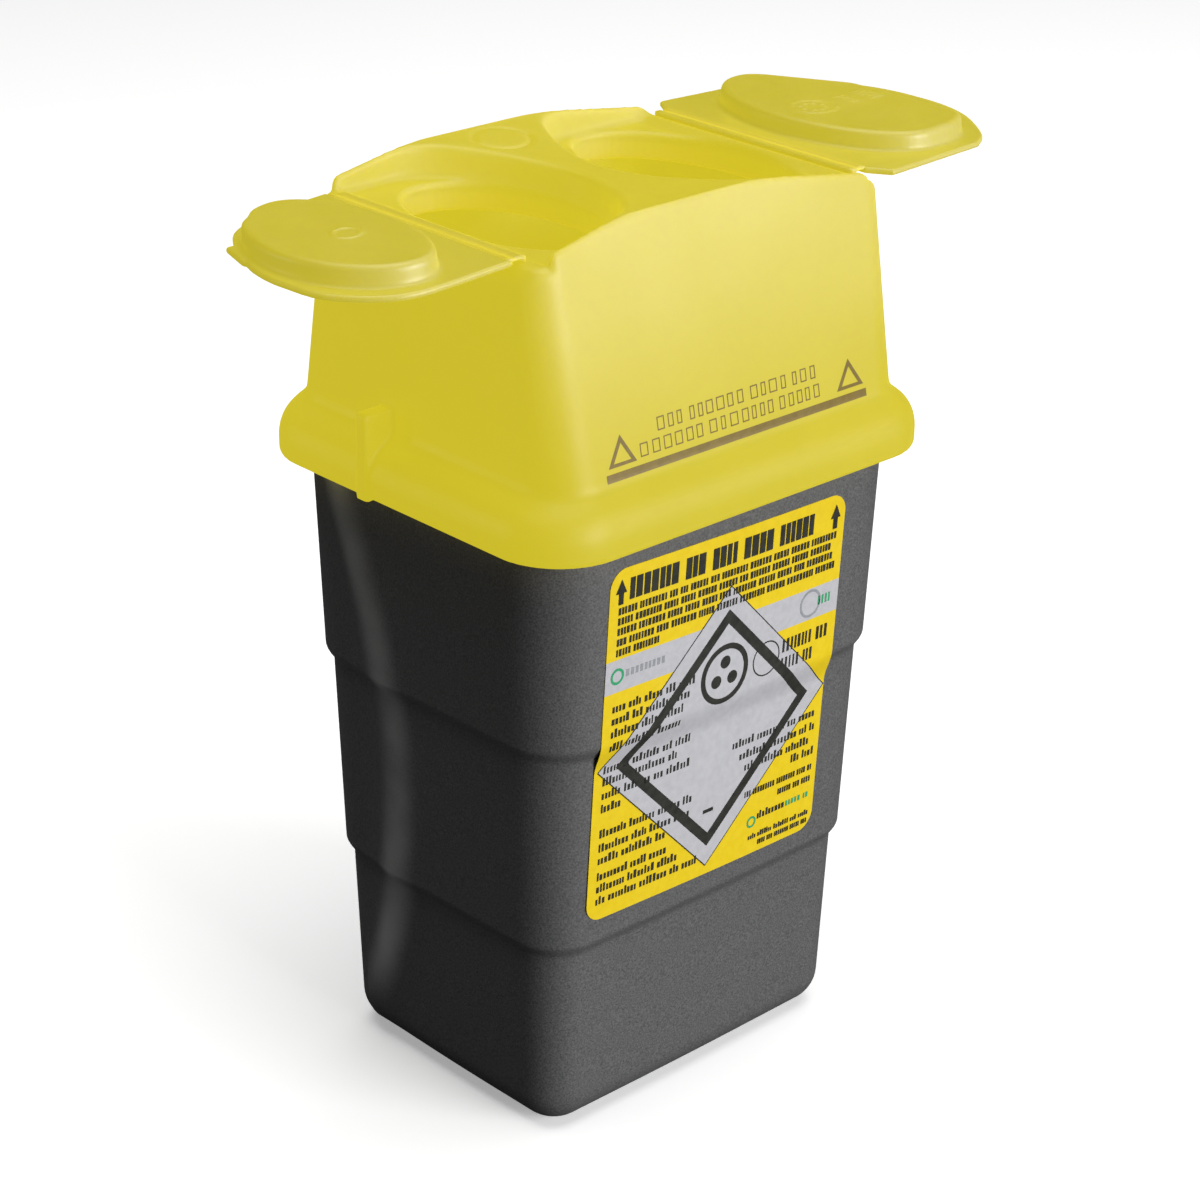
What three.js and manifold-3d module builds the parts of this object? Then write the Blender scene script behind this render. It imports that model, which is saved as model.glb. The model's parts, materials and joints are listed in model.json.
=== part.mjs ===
// One-litre sharps container: a tapered dark bin, a yellow lid pressed over its flange, whose deck
// has two disposal openings, and two closure flaps on film hinges, both standing open.
// Millimetres, +Z up. The origin is the centre of the base, and the labelled broad face looks along -Y.

import * as THREE from "three";
import { mergeVertices } from "three/addons/utils/BufferGeometryUtils.js";
import Module from "manifold-3d";

const wasm = await Module();
wasm.setup();

// ---------- driving dimensions ----------

// Bin: half widths at the base plane, which grow with height and at two moulded steps.
const BASE_HALF_X = 40.3;
const BASE_HALF_Y = 31.6;
const BASE_CORNER = 8.1;
const BASE_FILLET = 7.4;
const BIN_DRAFT_X = 0.031;
const BIN_DRAFT_Y = 0.036;
const CORNER_OPENING = 0.3;
const STEP_LEVELS = [42.4, 86.3];
const STEP_OUT = 1.5;
const STEP_HEIGHT = 3.4;
const BIN_WALL = 1.5;
const BIN_FLOOR = 1.8;
const BIN_TOP = 135.2;

// Lid rim: the widest bead, which hangs over the bin's flange.
const RIM = { x: 52.0, y: 44.0, r: 14.4 };
const RIM_BOTTOM = 128.8;
const RIM_WALL = 1.5;
const RIM_SHOULDER = 135.6;
const RIM_LIP = { inset: 0.8, thick: 2.2, height: 2.4 };
const RIM_LIP_ROUND = { inset: 0.1, height: 0.9 };
const SHOULDER_CHAMFER = { inset: 1.1, height: 1 };
const BEAD_START = 132.2;
const BEAD_TOP = 138.6;
const BEAD_REACH = 0.92;

// Bin flange: it stands inside the rim with this clearance.
const FLANGE_CLEARANCE = 0.7;
const FLANGE_CORNER = 12;
const FLANGE_UNDER = 131.4;
const FLANGE_LOW = 133;
const FLANGE_CHAMFER = 1;

// Lid walls lean inwards from the bead to the gable.
const LID_FOOT = 140;
const LID_FOOT_HALF_X = 46.0;
const LID_FOOT_HALF_Y = 39.4;
const LID_FOOT_CORNER = 9.4;
const LID_LEAN_X = 0.02;
const LID_LEAN_Y = 0.195;
const LID_LEAN_CORNER = 0.085;
const LID_WALL = 1.5;

// Gable: the top edge of the two broad walls, flat over the ridge and falling to the hinges.
const GABLE_TOP = 187.4;
const GABLE_LEFT = -22.5;
const GABLE_RIGHT = 10.8;
const GABLE_END_X = 41.3;
const GABLE_END_LEFT = 183.7;
const GABLE_END_RIGHT = 182.6;
const GABLE_ROUND = { out: 0.6, along: 2.2, rise: 0.4 };
const HINGE_LAND = 181.5;
const LAND_SET_BACK = 1;
const LAND_SLOPE = { drop: 3.2, x: 45.3, inset: 1.2, under: 2, headroom: 4 };

// Deck: two wells either side of an hourglass ridge, each with an opening in its floor.
const WELL_FLOOR = 180.4;
const DECK_THICK = 1.5;
const WELL_HALF_Y = 29.4;
const RIDGE_LEFT = { apex: -7.3, flare: 15 };
const RIDGE_RIGHT = { apex: -0.8, flare: 11.5 };
const RIDGE_DIP = 2;
const RIDGE_SPAN = { low: -35, high: 25 };
const RIDGE_HOLLOW_GAP = 0.4;
const RIDGE_MARK = { x: -5.6, y: 22.3, radius: 6.1, width: 0.9, depth: 0.5 };
const COLLAR_BOTTOM = 174.5;
const COLLAR_WALL = 1.3;
const COLLAR_SUNK = 0.4;

// Needle-remover slot: it tapers from inside the left opening towards the hinge, between saw teeth.
const SLOT = { y: -6, fromX: -34.5, toX: -41, mouth: 5.2, end: 1.6, teeth: 4, rake: 1.2, bite: 0.55 };

// Closure flaps: the hinge axis lies in the plate's upper face.
const HINGE_LEFT = 44;
const HINGE_RIGHT = 42.2;
const HINGE_Z = 182.4;
const PLATE = 1.3;
const PLATE_START = 0.95;
const PLUG_WALL = 1.3;
const PLUG_CLEARANCE = 1.1;
const PLUG_EDGE = { inset: 0.5, height: 1, lap: 0.2 };
const LEFT_PLUG = 4;
const RIGHT_PLUG = 3.8;
const LEFT_DROOP = 3;

// Film hinges: thin webs over the end walls' top edges.
const FILM = 0.5;
const FILM_INSIDE = 2;
const FILM_OUTSIDE = 0.65;
const LEFT_FILM_HALF_Y = 25;
const RIGHT_FILM_HALF_Y = 27;

// Side ribs of the lid, one on each end wall.
const RIB = { y: 8.8, thick: 3.2, outer: 52.6, tip: 51.3, inner: 44.9, bottom: 128.1, top: 145.6 };

// Label: a thin sheet that follows the labelled wall over its upper step.
const LABEL = { x: -2.6, z: 85.7, width: 62.8, height: 75.2, corner: 4, turn: 1.1, gap: 0.3, thick: 0.4 };

// Facets to a corner, to a curve, to a quarter round in section and to each half of a ridge edge.
const CORNER_STEPS = 4;
const CURVE_STEPS = 8;
const ROUND_STEPS = 5;
const RIDGE_STEPS = 8;
const SHORTEST_EDGE = 0.3;
const SMALLEST_RADIUS = 0.6;
const MERGE_DISTANCE = 1e-4;

// Cutting solids run this far past the face they cut, or beyond the whole lid.
const CUT = 1;
const BEYOND = 60;

// ---------- solids ----------

// Turns a closed three.js geometry into a manifold-3d solid.
function solidOf(geometry) {
  const bare = new THREE.BufferGeometry();
  bare.setAttribute("position", geometry.getAttribute("position"));
  if (geometry.index) bare.setIndex(geometry.index);
  const merged = mergeVertices(bare, MERGE_DISTANCE);
  return new wasm.Manifold(
    new wasm.Mesh({
      numProp: 3,
      vertProperties: merged.getAttribute("position").array,
      triVerts: new Uint32Array(merged.index.array),
    }),
  );
}

// Turns a manifold-3d solid back into a three.js geometry.
function geometryOf(solid) {
  const mesh = solid.getMesh();
  const geometry = new THREE.BufferGeometry();
  geometry.setAttribute("position", new THREE.BufferAttribute(mesh.vertProperties, 3));
  geometry.setIndex(new THREE.BufferAttribute(mesh.triVerts, 1));
  geometry.computeVertexNormals();
  return geometry;
}

// A rectangle with round corners, as points in order.
function roundedRectangle(halfX, halfY, radius) {
  const shape = new THREE.Shape();
  const x = halfX - radius;
  const y = halfY - radius;
  shape.absarc(x, y, radius, 0, Math.PI / 2, false);
  shape.absarc(-x, y, radius, Math.PI / 2, Math.PI, false);
  shape.absarc(-x, -y, radius, Math.PI, 1.5 * Math.PI, false);
  shape.absarc(x, -y, radius, 1.5 * Math.PI, 2 * Math.PI, false);
  return shape.getPoints(CORNER_STEPS);
}

// A solid through a stack of rounded rectangles, given from the lowest to the highest.
function loft(sections) {
  const rings = sections.map((s) => roundedRectangle(s.x, s.y, s.r));
  const count = rings[0].length;
  const positions = [];
  rings.forEach((ring, i) => ring.forEach((p) => positions.push(p.x, p.y, sections[i].z)));
  const first = sections[0];
  const last = sections[sections.length - 1];
  const lowCentre = positions.length / 3;
  positions.push(0, 0, first.z, 0, 0, last.z);
  const indices = [];
  for (let j = 0; j < count; j++) {
    const k = (j + 1) % count;
    for (let i = 0; i + 1 < rings.length; i++) {
      const low = i * count;
      const high = low + count;
      indices.push(low + j, low + k, high + k, low + j, high + k, high + j);
    }
    const top = (rings.length - 1) * count;
    indices.push(lowCentre, k, j);
    indices.push(lowCentre + 1, top + j, top + k);
  }
  const geometry = new THREE.BufferGeometry();
  geometry.setAttribute("position", new THREE.Float32BufferAttribute(positions, 3));
  geometry.setIndex(indices);
  return solidOf(geometry);
}

// A plan outline raised from one height to another.
function prism(shape, low, high) {
  const options = { depth: high - low, bevelEnabled: false, curveSegments: CURVE_STEPS };
  return solidOf(new THREE.ExtrudeGeometry(shape, options).translate(0, 0, low));
}

// An outline in X and Z, run from front to back between two places on Y.
function frontPrism(shape, near, far) {
  const options = { depth: far - near, bevelEnabled: false, curveSegments: CURVE_STEPS };
  const geometry = new THREE.ExtrudeGeometry(shape, options);
  geometry.rotateX(Math.PI / 2);
  return solidOf(geometry.translate(0, far, 0));
}

function box(lowX, highX, lowY, highY, lowZ, highZ) {
  const geometry = new THREE.BoxGeometry(highX - lowX, highY - lowY, highZ - lowZ);
  geometry.translate((lowX + highX) / 2, (lowY + highY) / 2, (lowZ + highZ) / 2);
  return solidOf(geometry);
}

// The points of a shape, each moved outwards by a distance (inwards when it is negative).
function offsetOutline(points, distance) {
  const turn = THREE.ShapeUtils.area(points) > 0 ? 1 : -1;
  return points.map((p, i) => {
    const before = points[(i + points.length - 1) % points.length];
    const after = points[(i + 1) % points.length];
    const first = new THREE.Vector2().subVectors(p, before).normalize();
    const second = new THREE.Vector2().subVectors(after, p).normalize();
    const along = first.add(second).normalize();
    return new THREE.Vector2(p.x + along.y * distance * turn, p.y - along.x * distance * turn);
  });
}

// ---------- bin ----------

// Outer half widths and corner radius of the bin at a height.
function binSection(z) {
  let out = 0;
  for (const level of STEP_LEVELS) {
    out += STEP_OUT * THREE.MathUtils.clamp((z - level) / STEP_HEIGHT + 0.5, 0, 1);
  }
  const x = BASE_HALF_X + BIN_DRAFT_X * z + out;
  const y = BASE_HALF_Y + BIN_DRAFT_Y * z + out;
  const r = BASE_CORNER + CORNER_OPENING * (BIN_DRAFT_X + BIN_DRAFT_Y) * z + out;
  return { x, y, r, z };
}

function grown(section, by, z = section.z) {
  return { x: section.x + by, y: section.y + by, r: Math.max(section.r + by, SMALLEST_RADIUS), z };
}

// Heights at which the straight bin wall changes: both ends of each step.
const BIN_LEVELS = STEP_LEVELS.flatMap((z) => [z - STEP_HEIGHT / 2, z + STEP_HEIGHT / 2]);

// Sections round the base fillet of a wall that starts at a given floor height.
function filletSections(floor, inset, radius) {
  const sections = [];
  for (let i = 0; i <= ROUND_STEPS; i++) {
    const angle = (i / ROUND_STEPS) * (Math.PI / 2);
    const z = floor + radius * (1 - Math.cos(angle));
    sections.push(grown(binSection(z), -inset - radius * (1 - Math.sin(angle)), z));
  }
  return sections;
}

function makeBin() {
  const innerFillet = BASE_FILLET - BIN_WALL;
  const flange = { ...grown(RIM, -RIM_WALL - FLANGE_CLEARANCE), r: FLANGE_CORNER };
  const outer = loft([
    ...filletSections(0, 0, BASE_FILLET),
    ...BIN_LEVELS.map(binSection),
    binSection(FLANGE_UNDER),
    { ...flange, z: FLANGE_LOW },
    { ...flange, z: BIN_TOP - FLANGE_CHAMFER },
    grown(flange, -FLANGE_CHAMFER, BIN_TOP),
  ]);
  const inner = loft([
    ...filletSections(BIN_FLOOR, BIN_WALL, innerFillet),
    ...BIN_LEVELS.map((z) => grown(binSection(z), -BIN_WALL)),
    grown(binSection(BIN_TOP + CUT), -BIN_WALL),
  ]);
  return outer.subtract(inner);
}

// ---------- flap outlines ----------
// Each is drawn with x as the distance from the hinge axis, and y as in the assembly.

function vectors(pairs) {
  return pairs.map(([x, y]) => new THREE.Vector2(x, y));
}

function rightPlate() {
  const shape = new THREE.Shape();
  shape.moveTo(PLATE_START, -27.5);
  shape.lineTo(4, -32.2);
  shape.lineTo(31.4, -30.1);
  shape.splineThru(vectors([[36.7, -26.3], [43.6, -16.8], [46.6, -8.5], [47.3, 0]]));
  shape.splineThru(vectors([[46.6, 8.5], [43.6, 16.8], [36.7, 26.3], [31.4, 30.1]]));
  shape.lineTo(4, 32.2);
  shape.lineTo(PLATE_START, 27.5);
  return shape;
}

// A D whose straight side faces away from the hinge and has its back corner cut off.
function rightPlug() {
  const shape = new THREE.Shape();
  shape.moveTo(35.4, -20.5);
  shape.lineTo(35.4, 5);
  shape.quadraticCurveTo(35.4, 7, 34.4, 8.8);
  shape.lineTo(26.4, 23.4);
  shape.quadraticCurveTo(24, 27.2, 20.4, 27.2);
  shape.absellipse(20.4, 0, 15.6, 27.2, Math.PI / 2, 1.5 * Math.PI, false);
  shape.quadraticCurveTo(29, -27.4, 33.4, -23.8);
  shape.quadraticCurveTo(35.4, -22.4, 35.4, -20.5);
  return shape;
}

function leftPlate() {
  const shape = new THREE.Shape();
  shape.moveTo(PLATE_START, -25.4);
  shape.lineTo(16, -25.6);
  shape.splineThru(vectors([[21, -25.3], [25.4, -24], [29.4, -21], [32.8, -16.6], [34.8, -12], [35.4, -5]]));
  shape.splineThru(vectors([[35.4, 0], [34.6, 5], [33.4, 8.8]]));
  shape.lineTo(33.7, 9.4);
  shape.lineTo(31.4, 17.2);
  shape.lineTo(29.8, 17);
  shape.splineThru(vectors([[25.6, 22.4], [19, 25.6], [14, 26.6]]));
  shape.lineTo(PLATE_START, 26.9);
  return shape;
}

// An oval that is fuller on the side away from the hinge.
function leftPlug() {
  const oval = { x: 18.2, hingeward: 11.2, outward: 15.3, half: 22.2 };
  const shape = new THREE.Shape();
  shape.absellipse(oval.x, 0, oval.hingeward, oval.half, Math.PI / 2, 1.5 * Math.PI, false);
  shape.absellipse(oval.x, 0, oval.outward, oval.half, -Math.PI / 2, Math.PI / 2, false);
  return shape;
}

function outlinePoints(shape) {
  const points = shape.getPoints(CURVE_STEPS);
  return points.filter((p, i) => p.distanceTo(points[(i + 1) % points.length]) > SHORTEST_EDGE);
}

function hingeX(side) {
  return side > 0 ? HINGE_RIGHT : HINGE_LEFT;
}

// An outline as it lies when its flap is closed: mirrored into the deck on one side.
function intoDeck(points, side) {
  return new THREE.Shape(points.map((p) => new THREE.Vector2(side * (hingeX(side) - p.x), p.y)));
}

// ---------- lid ----------

function lidWall(z) {
  const up = z - LID_FOOT;
  return {
    x: LID_FOOT_HALF_X - LID_LEAN_X * up,
    y: LID_FOOT_HALF_Y - LID_LEAN_Y * up,
    r: LID_FOOT_CORNER - LID_LEAN_CORNER * up,
    z,
  };
}

// The bead is a quarter round from its widest line in to the foot of the wall.
function beadSections() {
  const foot = lidWall(LID_FOOT);
  const sections = [
    grown(RIM, -RIM_LIP.inset, RIM_BOTTOM),
    grown(RIM, -RIM_LIP_ROUND.inset, RIM_BOTTOM + RIM_LIP_ROUND.height),
    grown(RIM, 0, RIM_BOTTOM + RIM_LIP.height),
  ];
  for (let i = 0; i <= ROUND_STEPS; i++) {
    const angle = (i / ROUND_STEPS) * (Math.PI / 2);
    const t = BEAD_REACH * (1 - Math.cos(angle));
    sections.push({
      x: THREE.MathUtils.lerp(RIM.x, foot.x, t),
      y: THREE.MathUtils.lerp(RIM.y, foot.y, t),
      r: THREE.MathUtils.lerp(RIM.r, foot.r, t),
      z: THREE.MathUtils.lerp(BEAD_START, BEAD_TOP, Math.sin(angle)),
    });
  }
  return [...sections, foot];
}

function gableOutline() {
  const shape = new THREE.Shape();
  const outer = GABLE_END_X + GABLE_ROUND.out;
  const inner = GABLE_END_X - GABLE_ROUND.along;
  shape.moveTo(-BEYOND, RIM_BOTTOM - CUT);
  shape.lineTo(BEYOND, RIM_BOTTOM - CUT);
  shape.lineTo(BEYOND, HINGE_LAND);
  shape.lineTo(outer, HINGE_LAND);
  shape.quadraticCurveTo(GABLE_END_X, GABLE_END_RIGHT, inner, GABLE_END_RIGHT + GABLE_ROUND.rise);
  shape.lineTo(GABLE_RIGHT, GABLE_TOP);
  shape.lineTo(GABLE_LEFT, GABLE_TOP);
  shape.lineTo(-inner, GABLE_END_LEFT + GABLE_ROUND.rise);
  shape.quadraticCurveTo(-GABLE_END_X, GABLE_END_LEFT, -outer, HINGE_LAND);
  shape.lineTo(-BEYOND, HINGE_LAND);
  return shape;
}

// X of a ridge edge at a place on Y.
function ridgeEdge(ridge, side, y) {
  return ridge.apex + side * ridge.flare * (y / WELL_HALF_Y) ** 2;
}

// Plan of a well from its ridge edge out past the end wall.
function wellOutline(ridge, side) {
  const points = [];
  for (let i = -RIDGE_STEPS; i <= RIDGE_STEPS; i++) {
    const y = (i / RIDGE_STEPS) * WELL_HALF_Y;
    points.push(new THREE.Vector2(ridgeEdge(ridge, side, y), y));
  }
  points.push(new THREE.Vector2(side * BEYOND, WELL_HALF_Y));
  points.push(new THREE.Vector2(side * BEYOND, -WELL_HALF_Y));
  return new THREE.Shape(points);
}

// The hollow under the ridge, one wall thickness inside its edges.
function ridgeHollow() {
  const points = [];
  const half = WELL_HALF_Y - RIDGE_HOLLOW_GAP;
  for (const [ridge, side] of [[RIDGE_RIGHT, 1], [RIDGE_LEFT, -1]]) {
    for (let i = -RIDGE_STEPS; i <= RIDGE_STEPS; i++) {
      const y = (side * i * half) / RIDGE_STEPS;
      points.push(new THREE.Vector2(ridgeEdge(ridge, side, y) - side * DECK_THICK, y));
    }
  }
  return new THREE.Shape(points);
}

// What the ridge lacks above its crest: it dips in the middle and rises to both broad walls.
function ridgeSaddle() {
  const shape = new THREE.Shape();
  const half = WELL_HALF_Y;
  shape.moveTo(-GABLE_TOP, half);
  shape.quadraticCurveTo(RIDGE_DIP * 2 - GABLE_TOP, 0, -GABLE_TOP, -half);
  shape.lineTo(-GABLE_TOP - CUT, -half);
  shape.lineTo(-GABLE_TOP - CUT, half);
  const depth = RIDGE_SPAN.high - RIDGE_SPAN.low;
  const options = { depth, bevelEnabled: false, curveSegments: CURVE_STEPS };
  const geometry = new THREE.ExtrudeGeometry(shape, options);
  return solidOf(geometry.rotateY(Math.PI / 2).translate(RIDGE_SPAN.low, 0, 0));
}

// What is taken off the end wall outside the hinge, so that an open flap can hang down.
function landSlope(side) {
  const inner = side * (hingeX(side) - LAND_SET_BACK);
  const shape = new THREE.Shape();
  shape.moveTo(inner, HINGE_LAND);
  shape.lineTo(side * LAND_SLOPE.x, HINGE_LAND - LAND_SLOPE.drop);
  shape.lineTo(side * BEYOND, HINGE_LAND - LAND_SLOPE.drop);
  shape.lineTo(side * BEYOND, HINGE_LAND + LAND_SLOPE.headroom);
  shape.lineTo(inner, HINGE_LAND + LAND_SLOPE.headroom);
  return frontPrism(shape, -RIM.y, RIM.y);
}

// One side of the slot, from its mouth to its end, with a saw tooth at each step.
function slotSide(sign) {
  const row = [];
  for (let i = 0; i <= SLOT.teeth; i++) {
    const x = THREE.MathUtils.lerp(SLOT.fromX, SLOT.toX, i / SLOT.teeth);
    const half = THREE.MathUtils.lerp(SLOT.mouth, SLOT.end, i / SLOT.teeth) / 2;
    row.push(new THREE.Vector2(x, SLOT.y + sign * half));
    if (i < SLOT.teeth) row.push(new THREE.Vector2(x - SLOT.rake, SLOT.y + sign * (half - SLOT.bite)));
  }
  return row;
}

function needleSlot() {
  return new THREE.Shape([...slotSide(1), ...slotSide(-1).reverse()]);
}

// The space inside the bead, which the bin's flange fills.
function rimCavity() {
  return loft([
    grown(RIM, -RIM_LIP.thick, RIM_BOTTOM - CUT),
    grown(RIM, -RIM_WALL, RIM_BOTTOM + RIM_LIP.height),
    grown(RIM, -RIM_WALL, RIM_SHOULDER - SHOULDER_CHAMFER.height),
    grown(RIM, -RIM_WALL - SHOULDER_CHAMFER.inset, RIM_SHOULDER),
  ]);
}

// The space between the lid's walls, up to the underside of the deck.
function lidCavity() {
  const ceiling = grown(lidWall(WELL_FLOOR - DECK_THICK), -LID_WALL);
  return loft([
    grown(lidWall(LID_FOOT), -LID_WALL, RIM_SHOULDER - CUT / 2),
    grown(lidWall(LID_FOOT), -LID_WALL),
    grown(lidWall(HINGE_LAND - LAND_SLOPE.drop - LAND_SLOPE.under), -LID_WALL),
    { ...ceiling, x: ceiling.x - LAND_SLOPE.inset },
  ]);
}

// A circular groove in the crest of the ridge.
function ridgeMark() {
  const { x, y, radius, width, depth } = RIDGE_MARK;
  const circle = (r) => new THREE.Shape().absarc(x, y, r, 0, 2 * Math.PI, false);
  const disc = prism(circle(radius), GABLE_TOP - depth, GABLE_TOP + CUT);
  const core = prism(circle(radius - width), GABLE_TOP - 2 * CUT, GABLE_TOP + 2 * CUT);
  return disc.subtract(core);
}

// A rib on an end wall, whose tip reaches down past the bead.
function sideRib(side) {
  const span = (a, b) => [Math.min(side * a, side * b), Math.max(side * a, side * b)];
  const width = [RIB.y - RIB.thick / 2, RIB.y + RIB.thick / 2];
  const web = box(...span(RIB.inner, RIB.outer), ...width, RIM_SHOULDER, RIB.top);
  return web.add(box(...span(RIB.tip, RIB.outer), ...width, RIB.bottom, RIB.top));
}

function makeLid() {
  const outer = loft([...beadSections(), lidWall(GABLE_TOP + 2 * CUT)]);
  let lid = outer.intersect(frontPrism(gableOutline(), -BEYOND, BEYOND));
  lid = lid.subtract(rimCavity()).subtract(lidCavity());
  lid = lid.subtract(prism(ridgeHollow(), WELL_FLOOR - DECK_THICK - CUT, GABLE_TOP - RIDGE_DIP - DECK_THICK));
  lid = lid.subtract(ridgeSaddle());
  for (const side of [-1, 1]) lid = lid.subtract(landSlope(side));
  const openings = [
    { side: 1, ridge: RIDGE_RIGHT, plug: rightPlug() },
    { side: -1, ridge: RIDGE_LEFT, plug: leftPlug() },
  ];
  for (const { side, ridge, plug } of openings) {
    const points = outlinePoints(plug);
    const rim = intoDeck(offsetOutline(points, PLUG_CLEARANCE), side);
    const collar = intoDeck(offsetOutline(points, PLUG_CLEARANCE + COLLAR_WALL), side);
    lid = lid.subtract(prism(wellOutline(ridge, side), WELL_FLOOR, GABLE_TOP + CUT));
    lid = lid.add(prism(collar, COLLAR_BOTTOM, WELL_FLOOR - COLLAR_SUNK));
    lid = lid.subtract(prism(rim, COLLAR_BOTTOM - CUT, WELL_FLOOR + CUT));
  }
  lid = lid.subtract(prism(needleSlot(), COLLAR_BOTTOM - CUT, WELL_FLOOR + CUT));
  lid = lid.subtract(ridgeMark());
  for (const side of [-1, 1]) lid = lid.add(sideRib(side));
  return lid;
}

// ---------- flaps, hinges and label ----------

// A flap lies open: plate below the hinge plane, hollow plug standing above it.
function makeFlap(plateShape, plugShape, plugHeight, side) {
  const place = (points) => new THREE.Shape(points.map((p) => new THREE.Vector2(side * p.x, p.y)));
  const plug = outlinePoints(plugShape);
  const plate = prism(place(outlinePoints(plateShape)), -PLATE, 0);
  const shoulder = plugHeight - PLUG_EDGE.height;
  const raised = prism(place(plug), -PLATE, shoulder);
  const crown = prism(place(offsetOutline(plug, -PLUG_EDGE.inset)), shoulder - PLUG_EDGE.lap, plugHeight);
  const hollow = prism(place(offsetOutline(plug, -PLUG_WALL)), -PLATE - CUT, plugHeight - PLUG_WALL);
  return plate.add(raised).add(crown).subtract(hollow);
}

function makeFilm(side, halfY) {
  const inner = side * (hingeX(side) - FILM_INSIDE);
  const outer = side * (hingeX(side) + FILM_OUTSIDE);
  const low = Math.min(inner, outer);
  const high = Math.max(inner, outer);
  return box(low, high, -halfY, halfY, HINGE_Z - FILM, HINGE_Z);
}

// The labelled wall's place on Y at a height.
function wallY(z) {
  return -binSection(z).y;
}

function makeLabel() {
  const half = LABEL.height / 2 + 2 * CUT;
  const levels = BIN_LEVELS.filter((z) => Math.abs(z - LABEL.z) < half);
  const heights = [LABEL.z - half, ...levels, LABEL.z + half];
  const near = heights.map((z) => new THREE.Vector2(wallY(z) - LABEL.gap - LABEL.thick, z));
  const far = heights.map((z) => new THREE.Vector2(wallY(z) - LABEL.gap, z));
  const profile = new THREE.Shape([...near, ...far.reverse()]);
  const band = new THREE.ExtrudeGeometry(profile, { depth: 2 * BEYOND, bevelEnabled: false });
  band.applyMatrix4(new THREE.Matrix4().set(0, 0, 1, -BEYOND, 1, 0, 0, 0, 0, 1, 0, 0, 0, 0, 0, 1));
  const outline = new THREE.Shape(roundedRectangle(LABEL.width / 2, LABEL.height / 2, LABEL.corner));
  const cutter = new THREE.ExtrudeGeometry(outline, { depth: BEYOND, bevelEnabled: false });
  cutter.rotateZ(THREE.MathUtils.degToRad(-LABEL.turn));
  cutter.rotateX(Math.PI / 2);
  cutter.translate(LABEL.x, 0, LABEL.z);
  return solidOf(band).intersect(solidOf(cutter));
}

// ---------- materials and assembly ----------

const binGrey = new THREE.MeshStandardMaterial({ color: 0x4a4b4d, roughness: 0.55, metalness: 0 });
const lidYellow = new THREE.MeshStandardMaterial({ color: 0xe0ce33, roughness: 0.4, metalness: 0 });
const flapYellow = new THREE.MeshStandardMaterial({ color: 0xd2bf38, roughness: 0.4, metalness: 0 });
const filmYellow = new THREE.MeshStandardMaterial({ color: 0xdcc842, roughness: 0.35, metalness: 0 });
const labelYellow = new THREE.MeshStandardMaterial({ color: 0xf7dc1e, roughness: 0.5, metalness: 0 });

function named(name, solid, material) {
  const mesh = new THREE.Mesh(geometryOf(solid), material);
  mesh.name = name;
  return mesh;
}

const container = new THREE.Group();
container.add(named("container_body", makeBin(), binGrey));
container.add(named("lid_shell", makeLid(), lidYellow));
container.add(named("front_label", makeLabel(), labelYellow));
container.add(named("left_film_hinge", makeFilm(-1, LEFT_FILM_HALF_Y), filmYellow));
container.add(named("right_film_hinge", makeFilm(1, RIGHT_FILM_HALF_Y), filmYellow));

const leftHinge = new THREE.Group();
leftHinge.position.set(-HINGE_LEFT, 0, HINGE_Z);
leftHinge.rotation.y = THREE.MathUtils.degToRad(-LEFT_DROOP);
leftHinge.add(named("left_flap", makeFlap(leftPlate(), leftPlug(), LEFT_PLUG, -1), flapYellow));
container.add(leftHinge);

const rightHinge = new THREE.Group();
rightHinge.position.set(HINGE_RIGHT, 0, HINGE_Z);
rightHinge.add(named("right_flap", makeFlap(rightPlate(), rightPlug(), RIGHT_PLUG, 1), flapYellow));
container.add(rightHinge);

export default container;
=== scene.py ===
# Studio scene of a one-litre sharps container: dark tapered bin, translucent yellow lid, two open flaps.
# Shapes are worked out in millimetres and turned into metres where a mesh is made.
import json
import math
import random

import bmesh
import bpy
import numpy as np
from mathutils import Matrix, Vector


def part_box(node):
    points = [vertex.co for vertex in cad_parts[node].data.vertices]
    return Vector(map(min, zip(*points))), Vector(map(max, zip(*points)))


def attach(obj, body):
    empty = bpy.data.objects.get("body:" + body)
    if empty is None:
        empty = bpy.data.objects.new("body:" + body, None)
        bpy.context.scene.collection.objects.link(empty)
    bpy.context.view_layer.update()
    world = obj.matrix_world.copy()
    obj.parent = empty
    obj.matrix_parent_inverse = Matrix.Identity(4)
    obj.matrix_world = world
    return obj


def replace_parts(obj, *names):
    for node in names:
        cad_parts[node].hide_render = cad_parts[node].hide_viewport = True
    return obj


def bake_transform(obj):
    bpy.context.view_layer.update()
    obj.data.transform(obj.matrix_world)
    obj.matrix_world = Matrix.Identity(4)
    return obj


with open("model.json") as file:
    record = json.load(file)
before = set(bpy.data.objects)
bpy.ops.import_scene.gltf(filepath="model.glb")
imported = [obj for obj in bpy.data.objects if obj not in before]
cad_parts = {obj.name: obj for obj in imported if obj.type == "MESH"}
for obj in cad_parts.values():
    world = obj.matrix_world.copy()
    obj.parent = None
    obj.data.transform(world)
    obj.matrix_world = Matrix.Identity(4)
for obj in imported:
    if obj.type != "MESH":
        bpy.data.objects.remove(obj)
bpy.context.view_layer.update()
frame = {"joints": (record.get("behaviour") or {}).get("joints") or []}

import openvdb
from mathutils import Matrix, Vector
from mathutils.bvhtree import BVHTree

MM = 0.001
ROOT = "bin_and_lid"

# ---------- driving dimensions, millimetres ----------

BIN_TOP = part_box("container_body")[1].z / MM
LID_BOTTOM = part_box("lid_shell")[0].z / MM
LID_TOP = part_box("lid_shell")[1].z / MM
HINGE = {joint["child"]: Vector(joint["pos_m"]) / MM for joint in frame["joints"]}

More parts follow.
